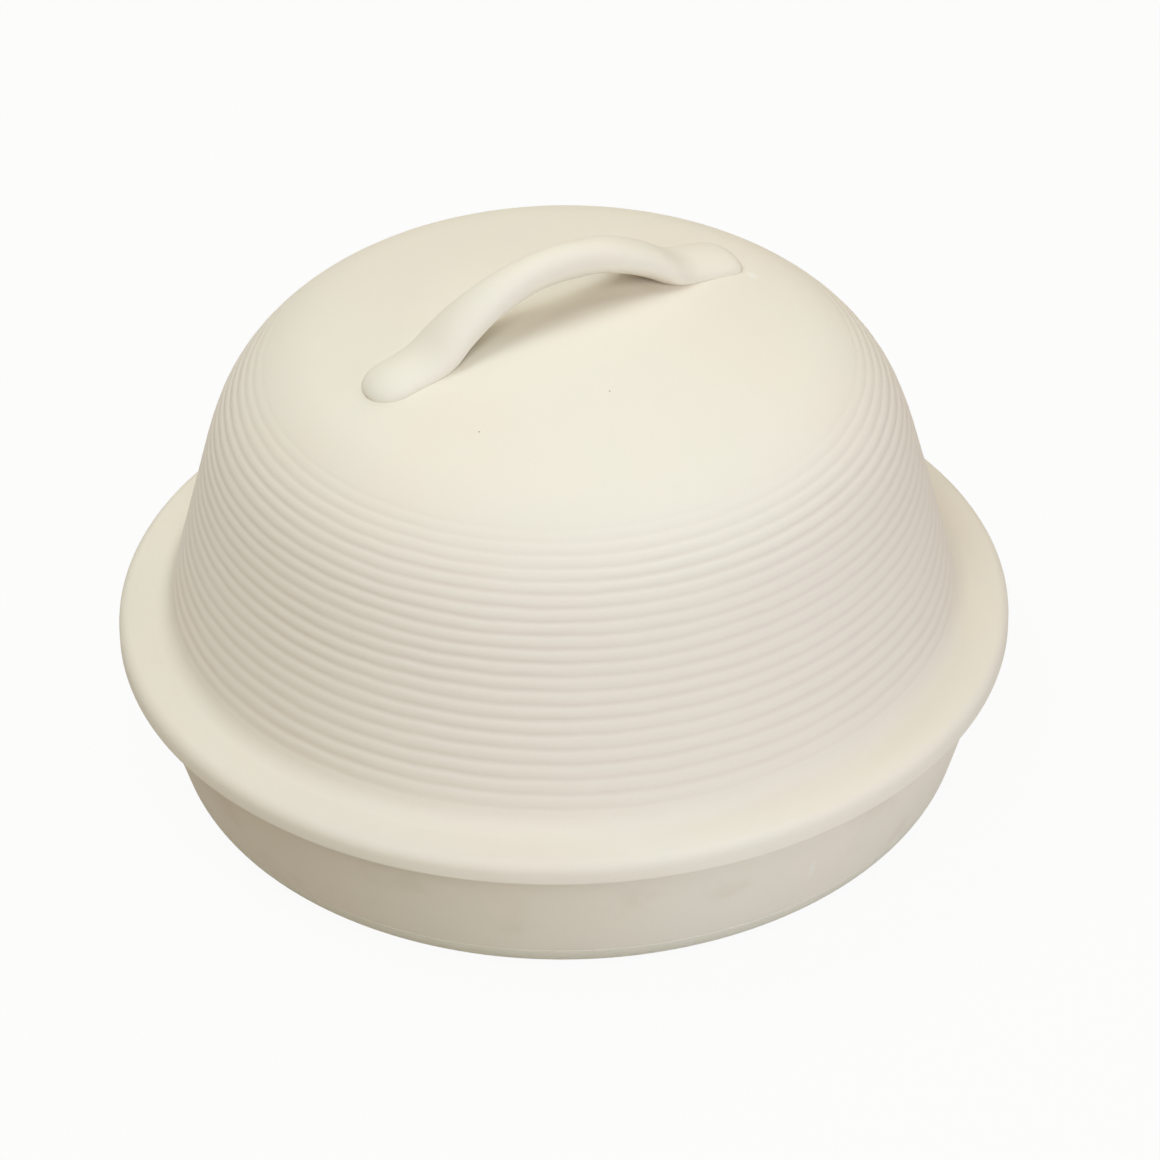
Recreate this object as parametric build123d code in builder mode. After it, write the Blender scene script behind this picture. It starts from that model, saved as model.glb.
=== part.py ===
from build123d import *
import math
import os

os.makedirs("parts", exist_ok=True)

# A stoneware bread cloche: a shallow round dish, a ribbed dome lid whose brim rests on
# the dish's rim, and a clay strap handle luted across the lid's crown.
# The origin is the centre of the dish's underside, +Z is up, the handle lies along X.
# Lengths are in millimetres and angles in degrees. A slope is measured from level.

# Dish
dish_height = 50.5
rim_radius = 145.0
dish_slope = 74.0
dish_wall = 8.0
floor_thickness = 8.0
heel_radius = 13.0
floor_fillet = 14.0
rim_easing = 1.6
standing_ring_width = 16.0
recess_depth = 1.5

# Lid
lid_height = 120.5
lid_wall = 8.5
crown_radius = 288.0
shoulder_radius = 51.8
shoulder_slope = 69.8
haunch_radius = 133.0
wall_slope = 75.2
flare_radius = 7.0
brim_overhang = 5.0
brim_thickness = 7.6
brim_slope = 9.0
brim_easing = 4.2
brim_arris = 0.8
lip_depth = 4.0
lip_width = 5.4
lip_clearance = 2.0
lip_easing = 1.2

# Throwing rings round the lid's side
ring_count = 21
ring_depth = 0.35
ring_start_slope = 33.9
fading_rings = 3
ring_growth_share = 0.16

# Handle
handle_length = 145.5
strap_width = 13.2
strap_thickness = 11.8
leg_width = 21.5
leg_thickness = 10.0
foot_width = 22.0
foot_thickness = 4.8
arch_radius = 70.0
arch_rise = 15.4
heel_blend_radius = 27.0
arch_station_shares = (0, 0.35, 0.7, 1)
toe_angles = (62, 42, 24, 8)


def polar(centre, radius, slope):
    """The point of an arc where its tangent has this slope, on the arc's outer side."""
    angle = math.radians(slope)
    return (centre[0] + radius * math.sin(angle), centre[1] + radius * math.cos(angle))


def run_out(height, slope):
    """How far a face of this slope moves sideways over a height."""
    return height / math.tan(math.radians(slope))


def side_width(thickness, slope):
    """The level width of a wall of this thickness on this slope."""
    return thickness / math.sin(math.radians(slope))


# Base dish: a pressed round with a leaning wall, a rounded heel and a flat eased rim,
# standing on a ring round a shallow recess

dish_inner_rim = rim_radius - side_width(dish_wall, dish_slope)
dish_heel_corner = rim_radius - run_out(dish_height, dish_slope)
dish_floor_corner = dish_inner_rim - run_out(dish_height - floor_thickness, dish_slope)
heel_turn = math.tan(math.radians(dish_slope / 2))
recess_radius = dish_heel_corner - heel_radius * heel_turn - standing_ring_width

with BuildPart() as base_dish:
    with BuildSketch(Plane.XZ):
        with BuildLine():
            FilletPolyline(
                (recess_radius, 0),
                (dish_heel_corner, 0),
                (rim_radius, dish_height),
                (dish_inner_rim, dish_height),
                (dish_floor_corner, floor_thickness),
                (0, floor_thickness),
                radius=(heel_radius, rim_easing, rim_easing, floor_fillet),
            )
            Polyline(
                (0, floor_thickness),
                (0, recess_depth),
                (recess_radius - recess_depth, recess_depth),
                (recess_radius, 0),
            )
        make_face()
    revolve(axis=Axis.Z)

base_dish.part.label = "base_dish"
export_step(base_dish.part, "parts/base_dish.step")


# Dome lid: the inside wall rises from a locating lip that hangs inside the dish's rim,
# so the dome's arcs are placed from the dish, and the crown's arc closes on the axis

seat = dish_height
crown_top = seat + lid_height
lip_bottom = seat - lip_depth
lip_outer = dish_inner_rim - side_width(lip_clearance, dish_slope)
lip_outer_foot = lip_outer - run_out(lip_depth, dish_slope)
lip_inner_foot = lip_outer_foot - lip_width

wall_normal = (math.sin(math.radians(wall_slope)), math.cos(math.radians(wall_slope)))
wall_offset = lip_inner_foot * wall_normal[0] + lip_bottom * wall_normal[1] + lid_wall
crown_reach = wall_offset - haunch_radius - (crown_top - crown_radius) * wall_normal[1]
crown_reach += (haunch_radius - shoulder_radius) * math.cos(math.radians(wall_slope - shoulder_slope))
crown_slope = wall_slope - math.degrees(math.acos(crown_reach / (crown_radius - shoulder_radius)))

crown_centre = (0, crown_top - crown_radius)
shoulder_centre = polar(crown_centre, crown_radius - shoulder_radius, crown_slope)
haunch_centre = polar(shoulder_centre, shoulder_radius - haunch_radius, shoulder_slope)
haunch_end = polar(haunch_centre, haunch_radius, wall_slope)
inner_haunch_end = polar(haunch_centre, haunch_radius - lid_wall, wall_slope)


def arc(centre, radius, from_slope, to_slope):
    """An arc that runs down the dome between two slopes."""
    return CenterArc(centre, radius, 90 - from_slope, from_slope - to_slope)


# Wall, flare, brim and locating lip are one line round the lid's foot. The brim's upper
# face falls from the wall to an eased edge.
brim_radius = rim_radius + brim_overhang
edge_top = seat + brim_thickness
brim_fall = math.tan(math.radians(brim_slope))
wall_lean = 1 / math.tan(math.radians(wall_slope))
corner_x = haunch_end[0] + (haunch_end[1] - edge_top - brim_radius * brim_fall) * wall_lean
corner_x /= 1 - brim_fall * wall_lean

with BuildLine() as foot_line:
    FilletPolyline(
        haunch_end,
        (corner_x, edge_top + (brim_radius - corner_x) * brim_fall),
        (brim_radius, edge_top),
        (brim_radius, seat),
        (lip_outer, seat),
        (lip_outer_foot, lip_bottom),
        (lip_inner_foot, lip_bottom),
        inner_haunch_end,
        radius=(flare_radius, brim_easing, brim_arris, lip_easing, lip_easing, lip_easing),
    )
wall_edge, *foot_edges = foot_line.edges().sort_by_distance(haunch_end)

# The rings follow the smooth outline from the shoulder down to the flare at the brim. They
# lie closer together near the top, where the first few are shallow.
with BuildLine() as ring_line:
    arc(shoulder_centre, shoulder_radius, ring_start_slope, shoulder_slope)
    arc(haunch_centre, haunch_radius, shoulder_slope, wall_slope)
    add(wall_edge)
ring_path = ring_line.wire()


def ring_point(step):
    """Even steps lie on the smooth outline and odd steps at the bottom of a groove."""
    share = step / (2 * ring_count)
    share -= ring_growth_share * share * (1 - share)
    place = ring_path.position_at(share)
    if step % 2 == 0:
        return place
    along = ring_path.tangent_at(share)
    depth = ring_depth * min(1, (step + 1) / (2 * fading_rings))
    return place + Vector(along.Y, -along.X) * depth


with BuildPart() as dome_lid:
    with BuildSketch(Plane.XZ):
        with BuildLine():
            arc(crown_centre, crown_radius, 0, crown_slope)
            arc(shoulder_centre, shoulder_radius, crown_slope, ring_start_slope)
            Polyline(*[ring_point(step) for step in range(2 * ring_count + 1)])
            add(foot_edges)
            arc(haunch_centre, haunch_radius - lid_wall, wall_slope, shoulder_slope)
            arc(shoulder_centre, shoulder_radius - lid_wall, shoulder_slope, crown_slope)
            arc(crown_centre, crown_radius - lid_wall, crown_slope, 0)
            Line((0, crown_top - lid_wall), (0, crown_top))
        make_face()
    revolve(axis=Axis.Z)

dome_lid.part.label = "dome_lid"
export_step(dome_lid.part, "parts/dome_lid.step")


# Lid handle: an oval strap that thins over its arch, with flat rounded feet pressed on to
# the crown. Its centre line is an arch, a small reverse bend and the crown's own arc.

arch_centre = (0, crown_top + arch_rise - arch_radius)
arch_gap = arch_centre[1] - crown_centre[1]
bend_from_crown = crown_radius + heel_blend_radius
bend_from_arch = arch_radius + heel_blend_radius
bend_height = (arch_gap**2 + bend_from_crown**2 - bend_from_arch**2) / (2 * arch_gap)
foot_slope = math.degrees(math.acos(bend_height / bend_from_crown))
bend_centre = polar(crown_centre, bend_from_crown, foot_slope)
leg_slope = math.degrees(math.atan2(bend_centre[0], bend_centre[1] - arch_centre[1]))
toe_centre = handle_length / 2 - foot_width / 2


def strap_station(place, slope, width, thickness):
    """One oval section of the strap, square to its centre line."""
    return (place, slope, width / 2, thickness / 2)


def crown_station(distance, width, thickness):
    """An oval section centred on the crown's surface, this far from the axis."""
    slope = math.degrees(math.asin(distance / crown_radius))
    return strap_station(polar(crown_centre, crown_radius, slope), slope, width, thickness)


def arch_station(share):
    """A section of the arch, which widens and flattens towards its legs."""
    slope = leg_slope * share
    width = strap_width + (leg_width - strap_width) * share**2
    thickness = strap_thickness + (leg_thickness - strap_thickness) * share**2
    return strap_station(polar(arch_centre, arch_radius, slope), slope, width, thickness)


bend_slope = (leg_slope + foot_slope) / 2
foot_height = 2 * foot_thickness
half_stations = [arch_station(share) for share in arch_station_shares]
half_stations.append(
    strap_station(
        polar(bend_centre, -heel_blend_radius, bend_slope),
        bend_slope,
        (leg_width + foot_width) / 2,
        (leg_thickness + foot_height) / 2,
    )
)
half_stations.append(crown_station(toe_centre, foot_width, foot_height))
for angle in toe_angles:
    shrink = math.sin(math.radians(angle))
    reach = toe_centre + foot_width / 2 * math.cos(math.radians(angle))
    half_stations.append(crown_station(reach, foot_width * shrink, foot_height * shrink))

with BuildPart() as lid_handle:
    for side in (-1, 1):
        ordered = reversed(half_stations) if side < 0 else half_stations[1:]
        for (x, z), slope, half_width, half_thickness in ordered:
            tilt = math.radians(side * slope)
            heading = (math.cos(tilt), 0, -math.sin(tilt))
            with BuildSketch(Plane(origin=(side * x, 0, z), x_dir=(0, 1, 0), z_dir=heading)):
                Ellipse(half_width, half_thickness)
    loft()
    with BuildSketch(Plane.XZ):
        with BuildLine():
            arc(crown_centre, crown_radius, 0, crown_slope)
            arc(shoulder_centre, shoulder_radius, crown_slope, shoulder_slope)
            shoulder_end = polar(shoulder_centre, shoulder_radius, shoulder_slope)
            Polyline(shoulder_end, (0, shoulder_end[1]), (0, crown_top))
        make_face()
    revolve(axis=Axis.Z, mode=Mode.SUBTRACT)

lid_handle.part.label = "lid_handle"
export_step(lid_handle.part, "parts/lid_handle.step")
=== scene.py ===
import math

import bpy
import numpy as np
from mathutils import Matrix, Vector, noise


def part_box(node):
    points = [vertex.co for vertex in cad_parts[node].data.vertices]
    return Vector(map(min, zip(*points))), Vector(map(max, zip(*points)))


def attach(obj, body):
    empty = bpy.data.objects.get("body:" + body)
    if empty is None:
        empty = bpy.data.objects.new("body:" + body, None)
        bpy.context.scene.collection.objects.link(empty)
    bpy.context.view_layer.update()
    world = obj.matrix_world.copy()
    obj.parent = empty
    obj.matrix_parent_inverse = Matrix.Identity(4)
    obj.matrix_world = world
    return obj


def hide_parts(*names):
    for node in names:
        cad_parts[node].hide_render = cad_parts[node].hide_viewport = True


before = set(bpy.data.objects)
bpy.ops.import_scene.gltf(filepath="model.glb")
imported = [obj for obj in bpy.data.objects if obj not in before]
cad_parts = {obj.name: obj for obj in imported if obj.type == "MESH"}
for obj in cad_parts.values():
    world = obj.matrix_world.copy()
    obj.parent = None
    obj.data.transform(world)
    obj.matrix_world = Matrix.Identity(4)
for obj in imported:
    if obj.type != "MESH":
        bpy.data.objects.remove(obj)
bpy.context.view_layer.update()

# An unglazed stoneware bread cloche: a shallow dish, a ringed dome lid and a strap handle.
# Lengths are in metres and slopes in radians from level. The handle lies along X.

mm = 0.001

# What the solids give
rim_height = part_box("base_dish")[1].z
brim_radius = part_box("dome_lid")[1].x
crown_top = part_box("dome_lid")[1].z
handle_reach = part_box("lid_handle")[1].x

# Dish
rim_radius = 145 * mm
dish_slope = math.radians(74)
dish_wall = 8 * mm
floor_thickness = 8 * mm
heel_radius = 13 * mm
floor_fillet = 14 * mm
rim_easing = 1.6 * mm
standing_ring_width = 16 * mm
recess_depth = 1.5 * mm
dish_shift = 1.2 * mm
fettling_height = 10.4 * mm
fettling_width = 0.9 * mm
fettling_depth = 0.16 * mm

# Lid
lid_wall = 8.5 * mm
crown_radius = 288 * mm
shoulder_radius = 51.8 * mm
shoulder_slope = math.radians(69.8)
haunch_radius = 133 * mm
wall_slope = math.radians(75.2)
flare_radius = 7 * mm
brim_thickness = 7.6 * mm
brim_slope = math.radians(9)
brim_easing = 4.2 * mm
brim_arris = 0.8 * mm
lip_depth = 4 * mm
lip_width = 5.4 * mm
lip_clearance = 2 * mm
lip_easing = 1.2 * mm

# Throwing rings
ring_count = 21
ring_depth = 0.35 * mm
ring_start_slope = math.radians(33.9)
ring_growth = 0.16
ring_fall = 0.28
groove_start = 0.7
fading_rings = 5
faintest_ring = 0.7
last_ring_share = 0.8
usual_depth = 0.95

# How much the rings waver in place and in depth, as pairs of how far and how often round the dome
place_wavers = ((0.08, 2.5), (0.06, 14))
depth_wavers = ((0.3, 2.2), (0.15, 11))
waver_drift = 0.45

# Handle
strap_width = 13.2 * mm
strap_thickness = 11.8 * mm
leg_thickness = 10 * mm
arch_radius = 70 * mm
arch_rise = 15 * mm
heel_blend_radius = 30 * mm
handle_drift = -0.7 * mm
handle_offset = 3.6 * mm
handle_turn = math.radians(0.7)

# How finely the clay is meshed
turns = 288
smooth_step = 2.6 * mm
bend_step = 0.9 * mm
steps_a_ring = 10
strap_step = 1.3 * mm
strap_sides = 44
toe_steps = 9


# Outlines, as points of radius and height from the axis, clockwise


def on_arc(centre, radius, slope):
    """The point of an arc where its outline has this slope."""
    return centre + radius * np.array((math.sin(slope), math.cos(slope)))


def along_arc(centre, radius, first, last, step=smooth_step):
    """Points down an arc between two slopes, without its end."""
    count = max(2, round(abs((last - first) * radius) / step))
    return [on_arc(centre, radius, first + (last - first) * i / count) for i in range(count)]


def along_runs(corners, radii, step=smooth_step):
    """Points along straight runs whose inner corners are rounded, with both ends."""
    corners = [np.array(corner, float) for corner in corners]
    stops = [corners[0]]
    bends = []
    for before, corner, after, radius in zip(corners, corners[1:], corners[2:], radii):
        back = (before - corner) / np.linalg.norm(before - corner)
        ahead = (after - corner) / np.linalg.norm(after - corner)
        half = math.acos(np.clip(back @ ahead, -1, 1)) / 2
        reach = radius / math.tan(half)
        inward = (back + ahead) / np.linalg.norm(back + ahead)
        centre = corner + inward * radius / math.sin(half)
        start = corner + back * reach - centre
        count = max(3, round((math.pi - 2 * half) * radius / bend_step))
        side = np.sign(back[0] * ahead[1] - back[1] * ahead[0])
        turn = side * (2 * half - math.pi) / count
        bend = []
        for i in range(count + 1):
            cosine, sine = math.cos(turn * i), math.sin(turn * i)
            bend.append(centre + np.array((cosine * start[0] - sine * start[1],
                                           sine * start[0] + cosine * start[1])))
        bends.append(bend)
    points = []
    for bend in [*bends, [corners[-1]]]:
        start = points[-1] if points else stops[0]
        count = max(1, round(np.linalg.norm(bend[0] - start) / step))
        first = 1 if points else 0
        points += [start + (bend[0] - start) * i / count for i in range(first, count)]
        points += bend
    return points


def lean(thickness, slope):
    """The level width of a wall of this thickness on this slope."""
    return thickness / math.sin(slope)


def run_out(height, slope):
    """How far a face of this slope moves sideways over a height."""
    return height / math.tan(slope)


inner_rim = rim_radius - lean(dish_wall, dish_slope)
heel_corner = rim_radius - run_out(rim_height, dish_slope)
floor_corner = inner_rim - run_out(rim_height - floor_thickness, dish_slope)
recess_radius = heel_corner - heel_radius * math.tan(dish_slope / 2) - standing_ring_width


def on_dish_wall(height, depth=0):
    """A point of the dish's outer wall, or this deep in it."""
    return (heel_corner + run_out(height, dish_slope) - lean(depth, dish_slope), height)


# A fettling line runs round the wall where the heel starts
dish_outline = along_runs(
    [
        (0, floor_thickness),
        (floor_corner, floor_thickness),
        (inner_rim, rim_height),
        (rim_radius, rim_height),
        on_dish_wall(fettling_height + fettling_width / 2),
        on_dish_wall(fettling_height, fettling_depth),
        on_dish_wall(fettling_height - fettling_width / 2),
        (heel_corner, 0),
        (recess_radius, 0),
        (recess_radius - recess_depth, recess_depth),
        (0, recess_depth),
    ],
    [
        floor_fillet,
        rim_easing,
        rim_easing,
        fettling_width / 4,
        fettling_width / 4,
        fettling_width / 4,
        heel_radius,
        recess_depth / 2,
        recess_depth / 2,
    ],
    2 * smooth_step,
)

# The dome's arcs hang from the dish: the inside wall rises from the locating lip
lip_outer = inner_rim - lean(lip_clearance, dish_slope)
lip_outer_foot = lip_outer - run_out(lip_depth, dish_slope)
lip_inner_foot = lip_outer_foot - lip_width
lip_bottom = rim_height - lip_depth
wall_offset = lip_inner_foot * math.sin(wall_slope) + lip_bottom * math.cos(wall_slope) + lid_wall
crown_reach = wall_offset - haunch_radius - (crown_top - crown_radius) * math.cos(wall_slope)
crown_reach += (haunch_radius - shoulder_radius) * math.cos(wall_slope - shoulder_slope)
crown_slope = wall_slope - math.acos(crown_reach / (crown_radius - shoulder_radius))

crown_centre = np.array((0, crown_top - crown_radius))
shoulder_centre = on_arc(crown_centre, crown_radius - shoulder_radius, crown_slope)
haunch_centre = on_arc(shoulder_centre, shoulder_radius - haunch_radius, shoulder_slope)
wall_top = on_arc(haunch_centre, haunch_radius, wall_slope)

edge_top = rim_height + brim_thickness
wall_lean = 1 / math.tan(wall_slope)
brim_fall = math.tan(brim_slope)
flare_x = wall_top[0] + (wall_top[1] - edge_top - brim_radius * brim_fall) * wall_lean
flare_x /= 1 - brim_fall * wall_lean
flare_corner = (flare_x, edge_top + (brim_radius - flare_x) * brim_fall)
flare_reach = flare_radius * math.tan((wall_slope - brim_slope) / 2)
wall_run = np.linalg.norm(wall_top - flare_corner) - flare_reach

# The rings go down the shoulder, the haunch and the wall to the flare, a little wider apart
# lower down
shoulder_run = shoulder_radius * (shoulder_slope - ring_start_slope)
haunch_run = haunch_radius * (wall_slope - shoulder_slope)
ring_run = shoulder_run + haunch_run + wall_run


def ringed_place(length):
    """The point of the dome's smooth outline this far below the first ring."""
    if length < shoulder_run:
        return on_arc(shoulder_centre, shoulder_radius, ring_start_slope + length / shoulder_radius)
    length -= shoulder_run
    if length < haunch_run:
        return on_arc(haunch_centre, haunch_radius, shoulder_slope + length / haunch_radius)
    length -= haunch_run
    return wall_top + length * np.array((math.cos(wall_slope), -math.sin(wall_slope)))


crown_points = along_arc(crown_centre, crown_radius, 0, crown_slope)
crown_points += along_arc(shoulder_centre, shoulder_radius, crown_slope, ring_start_slope)
ring_steps = ring_count * steps_a_ring
ring_points = []
for i in range(ring_steps):
    share = i / ring_steps
    ring_points.append(ringed_place(ring_run * (share - ring_growth * share * (1 - share))))
foot_points = along_runs(
    [
        ringed_place(ring_run),
        flare_corner,
        (brim_radius, edge_top),
        (brim_radius, rim_height),
        (lip_outer, rim_height),
        (lip_outer_foot, lip_bottom),
        (lip_inner_foot, lip_bottom),
        on_arc(haunch_centre, haunch_radius - lid_wall, wall_slope),
    ],
    [flare_radius, brim_easing, brim_arris, lip_easing, lip_easing, lip_easing],
)
foot_points = foot_points[1:-1]
inner_points = along_arc(
    haunch_centre, haunch_radius - lid_wall, wall_slope, shoulder_slope, 2 * smooth_step
)
inner_points += along_arc(
    shoulder_centre, shoulder_radius - lid_wall, shoulder_slope, crown_slope, 2 * smooth_step
)
inner_points += along_arc(crown_centre, crown_radius - lid_wall, crown_slope, 0, 3 * smooth_step)
inner_points.append(crown_centre + (0, crown_radius - lid_wall))
dome_outline = crown_points + ring_points + foot_points + inner_points

# How far each point of the dome's outline lies below the first ring
first_ring = len(crown_points)
dome_steps = np.linalg.norm(np.diff(np.array(dome_outline), axis=0), axis=1)
dome_lengths = np.cumsum([0, *dome_steps]) - dome_steps[:first_ring].sum()


def ring_number(length):
    """Which ring, or what share of one, lies this far below the first."""
    share = max(0, length) / ring_run
    even = 1 - ring_growth
    spread = (even**2 + 4 * ring_growth * share)**0.5 - even
    return ring_count * spread / (2 * ring_growth) - ring_fall


def scallop(ring):
    """A round rib from 0 at its crest to 1 in the groove on either side."""
    away = 2 * abs(ring - round(ring))
    if away < groove_start:
        return away**2 / groove_start
    return 1 - (1 - away)**2 / (1 - groove_start)


def wavered(wavers, around, drift):
    """The sum of soft noises round the dome."""
    return sum(far * noise.noise(around * often + drift) for far, often in wavers)


def dome_hollow(i, turn):
    """How far the throwing rings lie under the smooth outline, as a share of their depth. They
    waver a little and are faint at the first few rings and the last."""
    ring = ring_number(dome_lengths[i])
    if not 0 < ring < ring_count:
        return 0.0
    around = Vector((math.cos(turn), math.sin(turn), 0))
    drift = Vector((0, 0, ring * waver_drift))
    shifted = ring + wavered(place_wavers, around, drift)
    depth = usual_depth + wavered(depth_wavers, around, -drift)
    fade = min(1, (ring + faintest_ring) / fading_rings, (ring_count - ring) / last_ring_share)
    return scallop(shifted) * depth * fade


def dish_hollow(i, turn):
    """The dish is pressed and has no rings."""
    return 0.0


def turned(name, outline, hollow, shift=0):
    """A form turned on the wheel: the outline swung round the axis, each point pushed in by
    hollow(its number, its turn), which is kept on the mesh for the finish to read. The form
    may stand off the axis along X."""
    outline = np.array(outline)
    along = np.gradient(outline, axis=0)
    inward = np.stack((-along[:, 1], along[:, 0]), 1)
    inward = -inward / np.linalg.norm(inward, axis=1)[:, None]
    points, depths, rows = [], [], []
    for i, (radius, height) in enumerate(outline):
        if radius < 1e-6:
            rows.append([len(points)] * turns)
            points.append((shift, 0, height))
            depths.append(0.0)
            continue
        rows.append(list(range(len(points), len(points) + turns)))
        for j in range(turns):
            turn = 2 * math.pi * j / turns
            share = hollow(i, turn)
            r = radius + inward[i][0] * share * ring_depth
            z = height + inward[i][1] * share * ring_depth
            points.append((r * math.cos(turn) + shift, r * math.sin(turn), z))
            depths.append(share)
    faces = []
    for upper, lower in zip(rows, rows[1:]):
        for j in range(turns):
            corners = [upper[j], lower[j], lower[(j + 1) % turns], upper[(j + 1) % turns]]
            faces.append(list(dict.fromkeys(corners)))
    return fired(name, points, faces, depths)


def fired(name, points, faces, depths):
    """A smooth mesh object with each point's depth below the smooth form."""
    mesh = bpy.data.meshes.new(name)
    mesh.from_pydata(points, [], faces)
    mesh.attributes.new("hollow", "FLOAT", "POINT").data.foreach_set("value", depths)
    mesh.shade_smooth()
    mesh.update()
    piece = bpy.data.objects.new(name, mesh)
    bpy.context.scene.collection.objects.link(piece)
    return piece


dome = turned("ringed_dome", dome_outline, dome_hollow)
dish = turned("pressed_dish", dish_outline, dish_hollow, dish_shift)


# Strap handle: oval sections along an arch, a small reverse bend and the crown's own arc. The
# underside of each leg runs straight on into the crown.

arch_centre = np.array((0, crown_top + arch_rise - arch_radius))
arch_gap = arch_centre[1] - crown_centre[1]
bend_from_crown = crown_radius + heel_blend_radius
bend_from_arch = arch_radius + heel_blend_radius
bend_height = (arch_gap**2 + bend_from_crown**2 - bend_from_arch**2) / (2 * arch_gap)
foot_slope = math.acos(bend_height / bend_from_crown)
bend_centre = on_arc(crown_centre, bend_from_crown, foot_slope)
leg_slope = math.atan2(bend_centre[0], bend_centre[1] - arch_centre[1])
leg_normal = np.array((math.sin(leg_slope), math.cos(leg_slope)))
leg_underside = on_arc(arch_centre, arch_radius - leg_thickness / 2, leg_slope)
root_depth = 12 * mm
luting_depth = 0.35 * mm
hand_size = 11 * mm
hand_unevenness = 0.035
oval = 2.0
toe_fullness = 1.9
toe_rounding = 0.9


class Foot:
    """A foot of the handle, pressed out into a tongue."""

    def __init__(self, leg_width, width, thickness, reach, toe_length, squareness, sway):
        self.leg_width = leg_width
        self.width = width
        self.thickness = thickness
        self.toe_centre = reach - toe_length
        self.toe_length = toe_length
        self.squareness = squareness
        self.sway = sway


near_foot = Foot(
    leg_width=21 * mm,
    width=20.2 * mm,
    thickness=4.8 * mm,
    reach=handle_reach - 1.5 * mm,
    toe_length=10.1 * mm,
    squareness=2.0,
    sway=0.8 * mm,
)
far_foot = Foot(
    leg_width=24 * mm,
    width=22.6 * mm,
    thickness=4.4 * mm,
    reach=handle_reach + 0.8 * mm,
    toe_length=9.7 * mm,
    squareness=3.0,
    sway=1.3 * mm,
)


def ease(share):
    """A share that leaves 0 and reaches 1 gently."""
    return share * share * (3 - 2 * share)


def half_strap(foot):
    """One half's sections from the middle of the arch to the toe's tip, each as its place,
    slope, half width, height over and depth under its centre, fullness and sway."""
    sections = []
    for place in along_arc(arch_centre, arch_radius, 0, leg_slope, strap_step):
        share = (place[0] / (arch_radius * math.sin(leg_slope)))**2
        slope = math.asin(place[0] / arch_radius)
        width = strap_width + (foot.leg_width - strap_width) * share
        half = (strap_thickness + (leg_thickness - strap_thickness) * share) / 2
        sections.append((place, slope, width / 2, half, half, oval, 0.0))
    toe_slope = math.asin(foot.toe_centre / crown_radius)
    bend = along_arc(bend_centre, -heel_blend_radius, leg_slope, foot_slope, strap_step)
    sole = along_arc(crown_centre, crown_radius, foot_slope, toe_slope, strap_step)
    for i, place in enumerate(bend + sole):
        share = ease(i / (len(bend) + len(sole)))
        slope = leg_slope + (foot_slope - leg_slope) * i / len(bend)
        if i >= len(bend):
            slope = foot_slope + (toe_slope - foot_slope) * (i - len(bend)) / len(sole)
        upright = np.array((math.sin(slope), math.cos(slope)))
        under = (place - leg_underside) @ leg_normal / (upright @ leg_normal)
        width = foot.leg_width + (foot.width - foot.leg_width) * share
        over = leg_thickness / 2 + (foot.thickness - leg_thickness / 2) * share
        under = min(under, root_depth)
        fullness = oval + (toe_fullness - oval) * share
        sections.append((place, slope, width / 2, over, under, fullness, foot.sway * share))
    for i in range(toe_steps):
        around = math.pi / 2 * i / toe_steps
        distance = foot.toe_centre + foot.toe_length * math.sin(around)**(2 / foot.squareness)
        slope = math.asin(distance / crown_radius)
        half = foot.width / 2 * math.cos(around)**(2 / foot.squareness)
        over = foot.thickness * math.cos(around)**toe_rounding
        place = on_arc(crown_centre, crown_radius, slope)
        sections.append((place, slope, half, over, root_depth, toe_fullness, foot.sway))
    return sections


def rounded(share, fullness):
    """A sine or cosine of an oval that is this full, where 2 is an ellipse."""
    return math.copysign(abs(share)**(2 / fullness), share)


def strap(name):
    """The handle, with its feet pressed down on the crown. What lies in the crown is drawn out
    to just under its surface, and marked for the finish to paint shade where the handle meets the
    crown."""
    stations = [(-1, *section) for section in reversed(half_strap(near_foot))]
    stations += [(1, *section) for section in half_strap(far_foot)[1:]]
    centre = Vector((0, 0, crown_centre[1]))
    set_down = Matrix.Rotation(handle_drift / crown_radius, 3, "Y")
    set_down = set_down @ Matrix.Rotation(-handle_offset / crown_radius, 3, "X")
    set_down = set_down @ Matrix.Rotation(handle_turn, 3, "Z")
    sunk = crown_radius - luting_depth
    points, depths = [], []
    for side, (x, z), slope, half_width, over, under, fullness, sway in stations:
        up = Vector((side * math.sin(slope), 0, math.cos(slope)))
        for k in range(strap_sides):
            turn = 2 * math.pi * k / strap_sides
            across = half_width * rounded(math.cos(turn), fullness) + sway
            rise = (over if math.sin(turn) > 0 else under) * rounded(math.sin(turn), fullness)
            pinch = 1 + hand_unevenness * noise.noise(Vector((side * x, across, rise)) / hand_size)
            point = set_down @ (Vector((side * x, across * pinch, z)) + up * rise * pinch - centre)
            depths.append(float(point.length < sunk))
            if point.length < sunk:
                point *= sunk / point.length
            points.append(point + centre)
    tips = len(points)
    for side, foot in ((-1, near_foot), (1, far_foot)):
        slope = math.asin((foot.toe_centre + foot.toe_length) / crown_radius)
        tip = Vector((side * math.sin(slope), foot.sway / sunk, math.cos(slope))) * sunk
        points.append(set_down @ tip + centre)
        depths.append(1.0)
    faces = []
    for ring in range(len(stations) - 1):
        for k in range(strap_sides):
            after = (k + 1) % strap_sides
            here, there = ring * strap_sides, (ring + 1) * strap_sides
            faces.append((here + k, here + after, there + after, there + k))
    last = (len(stations) - 1) * strap_sides
    for k in range(strap_sides):
        after = (k + 1) % strap_sides
        faces.append((tips, after, k))
        faces.append((tips + 1, last + k, last + after))
    return fired(name, points, faces, depths)


handle = strap("strap_handle")


# Finishes


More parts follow.
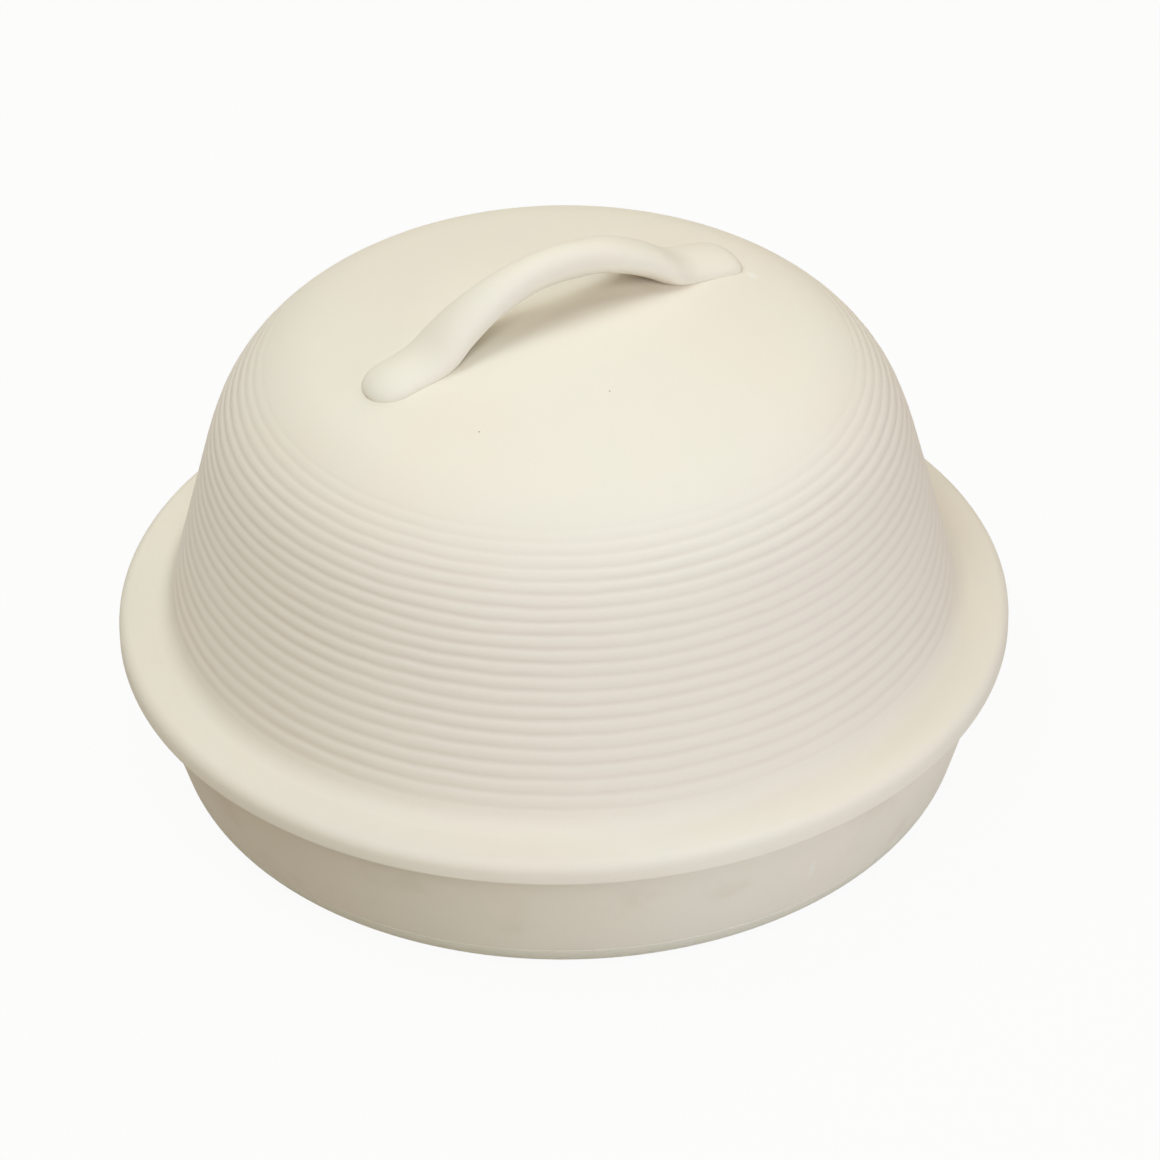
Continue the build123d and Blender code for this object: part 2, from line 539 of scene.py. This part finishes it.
def tone(red, green, blue):
    """A colour as a screen shows it, from 0 to 255, as the light it sends back."""
    shares = [value / 255 for value in (red, green, blue)]
    return (*[s / 12.92 if s <= 0.04045 else ((s + 0.055) / 1.055)**2.4 for s in shares], 1)


class Layer:
    """What a node gives out. Sums on layers add their Math nodes."""

    def __init__(self, recipe, socket):
        self.recipe = recipe
        self.socket = socket

    def maths(self, operation, *values):
        return self.recipe.node("Math", {"operation": operation}, dict(enumerate(values)))

    def __add__(self, other):
        return self.maths("ADD", self, other)

    def __sub__(self, other):
        return self.maths("SUBTRACT", self, other)

    def __rsub__(self, other):
        return self.maths("SUBTRACT", other, self)

    def __mul__(self, other):
        return self.maths("MULTIPLY", self, other)

    def most(self, other):
        return self.maths("MAXIMUM", self, other)

    __radd__ = __add__
    __rmul__ = __mul__

    def ramp(self, low, high):
        """0 at low and under, 1 at high and over, and smooth between."""
        limits = {"Value": self, "From Min": low, "From Max": high}
        return self.recipe.node("MapRange", {"interpolation_type": "SMOOTHSTEP"}, limits)


class Recipe:
    """The nodes of a material or of the surroundings, from the first to the last."""

    def __init__(self, holder):
        holder.use_nodes = True
        self.holder = holder
        self.tree = holder.node_tree
        self.tree.nodes.clear()

    def node(self, kind, settings={}, inputs={}, output=0):
        """Adds a node, sets it up, then fills or links its sockets, and gives one of its outputs."""
        made = self.tree.nodes.new("ShaderNode" + kind)
        for setting, value in settings.items():
            setattr(made, setting, value)
        for socket, value in inputs.items():
            if isinstance(value, Layer):
                self.tree.links.new(value.socket, made.inputs[socket])
            else:
                made.inputs[socket].default_value = value
        return Layer(self, made.outputs[output])

    def show(self, shader, end="OutputMaterial"):
        """Ends the recipe with this shader."""
        out = self.tree.nodes.new("ShaderNode" + end)
        self.tree.links.new(shader.socket, out.inputs["Surface"])
        return self.holder

    def seen(self):
        """1 where the camera sees the surface, straight or in a reflection or through glass."""
        kinds = ("Is Camera Ray", "Is Glossy Ray", "Is Transmission Ray")
        straight, mirrored, through = [self.node("LightPath", output=kind) for kind in kinds]
        return straight.most(mirrored).most(through)


class Finish(Recipe):
    """A fired clay surface, built up node by node."""

    def __init__(self, name):
        super().__init__(bpy.data.materials.new(name))
        self.place = self.node("TexCoord", output="Object")
        self.x, self.y, self.z = [self.node("SeparateXYZ", {}, {0: self.place}, i) for i in range(3)]

    def cloud(self, size, detail=2):
        """Soft noise from 0 to 1 whose patches are about this size."""
        inputs = {"Vector": self.place, "Scale": 1 / size, "Detail": detail}
        return self.node("TexNoise", {}, inputs)

    def mixed(self, share, under, over):
        """One colour laid over another by a share."""
        inputs = {0: share, 6: under, 7: over}
        return self.node("Mix", {"data_type": "RGBA"}, inputs, 2)

    def specks(self, size, spacing, share):
        """Round spots of up to this size, in a share of cells this far apart."""
        inputs = {"Vector": self.place, "Scale": 1 / spacing}
        distance = self.node("TexVoronoi", {}, inputs)
        chance = self.node("SeparateColor", {}, {0: self.node("TexVoronoi", {}, inputs, "Color")})
        spot = 1 - (distance * spacing).ramp(size * 0.3, size * 0.5)
        return spot * (1 - chance.ramp(share * 0.9, share))

    def mark(self, centre, reach):
        """1 at a place and 0 this far from it along X, Y and Z."""
        away = self.node("VectorMath", {"operation": "SUBTRACT"}, {0: self.place, 1: centre})
        away = self.node("VectorMath", {"operation": "DIVIDE"}, {0: away, 1: reach})
        return 1 - self.node("VectorMath", {"operation": "LENGTH"}, {0: away}, 1).ramp(0.2, 1.0)

    def fire(self, colour, roughness, height):
        """The clay's shader: a matt surface with this colour, roughness and relief in metres."""
        bump = self.node("Bump", {}, {"Height": height, "Distance": 1.0, "Strength": 1.0})
        inputs = {"Base Color": colour, "Roughness": roughness, "Normal": bump}
        inputs["Specular IOR Level"] = clay_shine
        return self.show(self.node("BsdfPrincipled", {}, inputs))


cream = tone(237, 232, 217)
warm_cream = tone(238, 231, 217)
cool_cream = tone(236, 232, 218)
rose_cream = tone(238, 231, 219)
green_cream = tone(226, 225, 209)
# Tan for sand grains, and for painted shade in the ring grooves
sand_and_groove_shade_tan = tone(225, 215, 202)
# Brown for the dish's dust patches, and for painted shade and painted shadow
dust_and_shade_brown = tone(206, 193, 172)
speck_brown = tone(120, 108, 88)
pale_slip = tone(243, 241, 233)
clay_shine = 0.3


def clay_body(finish):
    """Colour and relief that all three pieces share."""
    colour = finish.mixed(finish.cloud(60 * mm, 3).ramp(0.35, 0.65), cool_cream, warm_cream)
    colour = finish.mixed(finish.cloud(18 * mm, 4).ramp(0.3, 0.75) * 0.6, colour, cream)
    sand = finish.cloud(0.7 * mm, 2)
    colour = finish.mixed(sand.ramp(0.55, 0.8) * 0.12, colour, sand_and_groove_shade_tan)
    pinholes = finish.specks(0.65 * mm, 11 * mm, 0.1)
    colour = finish.mixed(pinholes * 0.8, colour, speck_brown)
    height = (sand * 0.03 + finish.cloud(7 * mm, 3) * 0.07) * mm - pinholes * 0.12 * mm
    return colour, height


def dome_finish():
    finish = Finish("ringed stoneware")
    colour, height = clay_body(finish)
    thrown = 1 - finish.z.ramp(crown_top - 42 * mm, crown_top - 14 * mm)
    thrown = thrown * finish.z.ramp(edge_top + 1 * mm, edge_top + 12 * mm)
    colour = finish.mixed(thrown * 0.6, colour, rose_cream)
    # Painted shade: the ring grooves are darker the deeper they lie
    hollow = finish.node("Attribute", {"attribute_name": "hollow"}, {}, "Fac")
    colour = finish.mixed(hollow.ramp(0.25, 1.0) * 0.4, colour, sand_and_groove_shade_tan)
    # Painted shadow: the strap's shadow on the crown, darker and browner just under the strap
    strap_shadow = finish.mark(Vector((7, -4, 170)) * mm, Vector((46, 13, 30)) * mm)
    colour = finish.mixed(strap_shadow * 0.3, colour, dust_and_shade_brown)
    # Painted shade: the shadow is deeper in the corner by the far leg's root
    leg_corner_shade = finish.mark(Vector((37, -4, 168.5)) * mm, Vector((8, 6, 8)) * mm)
    colour = finish.mixed(leg_corner_shade * 0.25, colour, dust_and_shade_brown)
    slip = finish.mark(Vector((72.5, -7, 161.6)) * mm, Vector((2.5, 3.5, 3)) * mm)
    colour = finish.mixed(slip * 0.7, colour, pale_slip)
    return finish.fire(colour, 0.82 + 0.1 * finish.cloud(4 * mm), height)


def dish_finish():
    finish = Finish("pressed stoneware")
    colour, height = clay_body(finish)
    rubbed = finish.cloud(26 * mm, 4).ramp(0.52, 0.8)
    colour = finish.mixed(rubbed * 0.3, colour, dust_and_shade_brown)
    # Painted shade: the dish is darker and browner towards -X, its less lit side
    left_side_shade = 1 - finish.x.ramp(-145 * mm, -20 * mm)
    colour = finish.mixed(left_side_shade * 0.3, colour, dust_and_shade_brown)
    scuff = finish.mark(Vector((4, -139, 26)) * mm, Vector((1.6, 4.0, 8.0)) * mm)
    colour = finish.mixed(scuff * 0.6, colour, pale_slip)
    under_line = 1 - finish.z.ramp(fettling_height - fettling_width, fettling_height)
    colour = finish.mixed(under_line * 0.6, colour, green_cream)
    return finish.fire(colour, 0.8 + 0.12 * finish.cloud(5 * mm), height)


def handle_finish():
    finish = Finish("sponged stoneware")
    colour, height = clay_body(finish)
    # Painted shade: the handle is darker where it meets the crown, a contact line round its feet
    contact_shade = finish.node("Attribute", {"attribute_name": "hollow"}, {}, "Fac")
    colour = finish.mixed(contact_shade.ramp(0.1, 0.9) * 0.6, colour, dust_and_shade_brown)
    return finish.fire(colour, 0.78 + 0.1 * finish.cloud(5 * mm), height)


for piece, body, node, slot, finish in (
    (dish, "dish", "base_dish", "dish_clay", dish_finish()),
    (dome, "lid", "dome_lid", "lid_clay", dome_finish()),
    (handle, "lid", "lid_handle", "handle_clay", handle_finish()),
):
    piece.data.materials.append(finish)
    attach(piece, body)
    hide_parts(node)


# Studio

camera_distance = 1861.4 * mm
camera_aim = Vector((4.7, -3.1, 63.0)) * mm
camera_turn = math.radians(33.4)
camera_slope = math.radians(35.22)
camera_roll = math.radians(-0.892)
lens_length = 171.34
lamp_distance = 1.7
lamp_width = 0.9
lamp_aim = Vector((0, 0, 90 * mm))


def stand(thing, aim, turn, slope, distance, roll=0.0):
    """Puts a camera or a lamp this far from its aim, turned and raised, and facing it."""
    level = math.cos(slope)
    back = Vector((-math.sin(turn) * level, -math.cos(turn) * level, math.sin(slope)))
    held = bpy.data.objects.new(thing.name, thing)
    bpy.context.scene.collection.objects.link(held)
    facing = (-back).to_track_quat("-Z", "Y").to_matrix().to_4x4() @ Matrix.Rotation(roll, 4, "Z")
    held.matrix_world = Matrix.Translation(aim + back * distance) @ facing
    return held


camera = bpy.data.cameras.new("camera")
camera.lens = lens_length
camera.sensor_width = 36
camera.sensor_fit = "HORIZONTAL"
camera.clip_start = 0.05
camera.clip_end = 50
bpy.context.scene.camera = stand(
    camera, camera_aim, camera_turn, camera_slope, camera_distance, camera_roll
)


def softbox(name, turn, slope, power, colour):
    """A square lamp that faces the cloche, turned this many degrees right of the camera."""
    lamp = bpy.data.lights.new(name, "AREA")
    lamp.shape = "SQUARE"
    lamp.size = lamp_width
    lamp.energy = power
    lamp.color = colour
    stand(lamp, lamp_aim, camera_turn - math.radians(turn), math.radians(slope), lamp_distance)


# Five soft lamps, and a little warm light that the room sends back
room_light = (0.133, 0.06, 0.005, 1)
white = (1, 1, 1, 1)
softbox("left softbox", 270, 62, 10.5, (0.88, 1.0, 1.08))
softbox("front softbox", 352, 50, 10.6, (0.94, 1.0, 1.0))
softbox("low right softbox", 45, 15, 10.0, (0.9, 1.0, 1.2))
softbox("back softbox", 180, 55, 5.2, (1.0, 1.0, 0.9))
softbox("back right softbox", 135, 45, 4.8, (0.98, 1.0, 0.92))

studio = Recipe(bpy.data.worlds.new("studio"))
room = studio.node("Background", {}, {"Color": room_light, "Strength": 1.0})
backdrop = studio.node("Background", {}, {"Color": white, "Strength": 1.0})
lit_room = studio.node("MixShader", {}, {0: studio.seen(), 1: room, 2: backdrop})
bpy.context.scene.world = studio.show(lit_room, "OutputWorld")


def paper_finish():
    """White paper that keeps a soft shadow and else shows as plain white."""
    paper = Recipe(bpy.data.materials.new("white paper"))
    matt = paper.node("BsdfDiffuse", {}, {"Color": tone(217, 214, 206)})
    glow = paper.node("Emission", {}, {"Color": white, "Strength": 1.0})
    return paper.show(paper.node("MixShader", {}, {0: paper.seen() * 0.94, 1: matt, 2: glow}))


# The floor lies a hair under the dish
floor_reach = 6.0
floor_gap = 0.1 * mm
floor_sides = ((-1, -1), (1, -1), (1, 1), (-1, 1))
corners = [(x * floor_reach, y * floor_reach, -floor_gap) for x, y in floor_sides]
floor = fired("paper_floor", corners, [(0, 1, 2, 3)], [0.0] * 4)
floor.data.materials.append(paper_finish())

bpy.context.scene.view_settings.view_transform = "Standard"
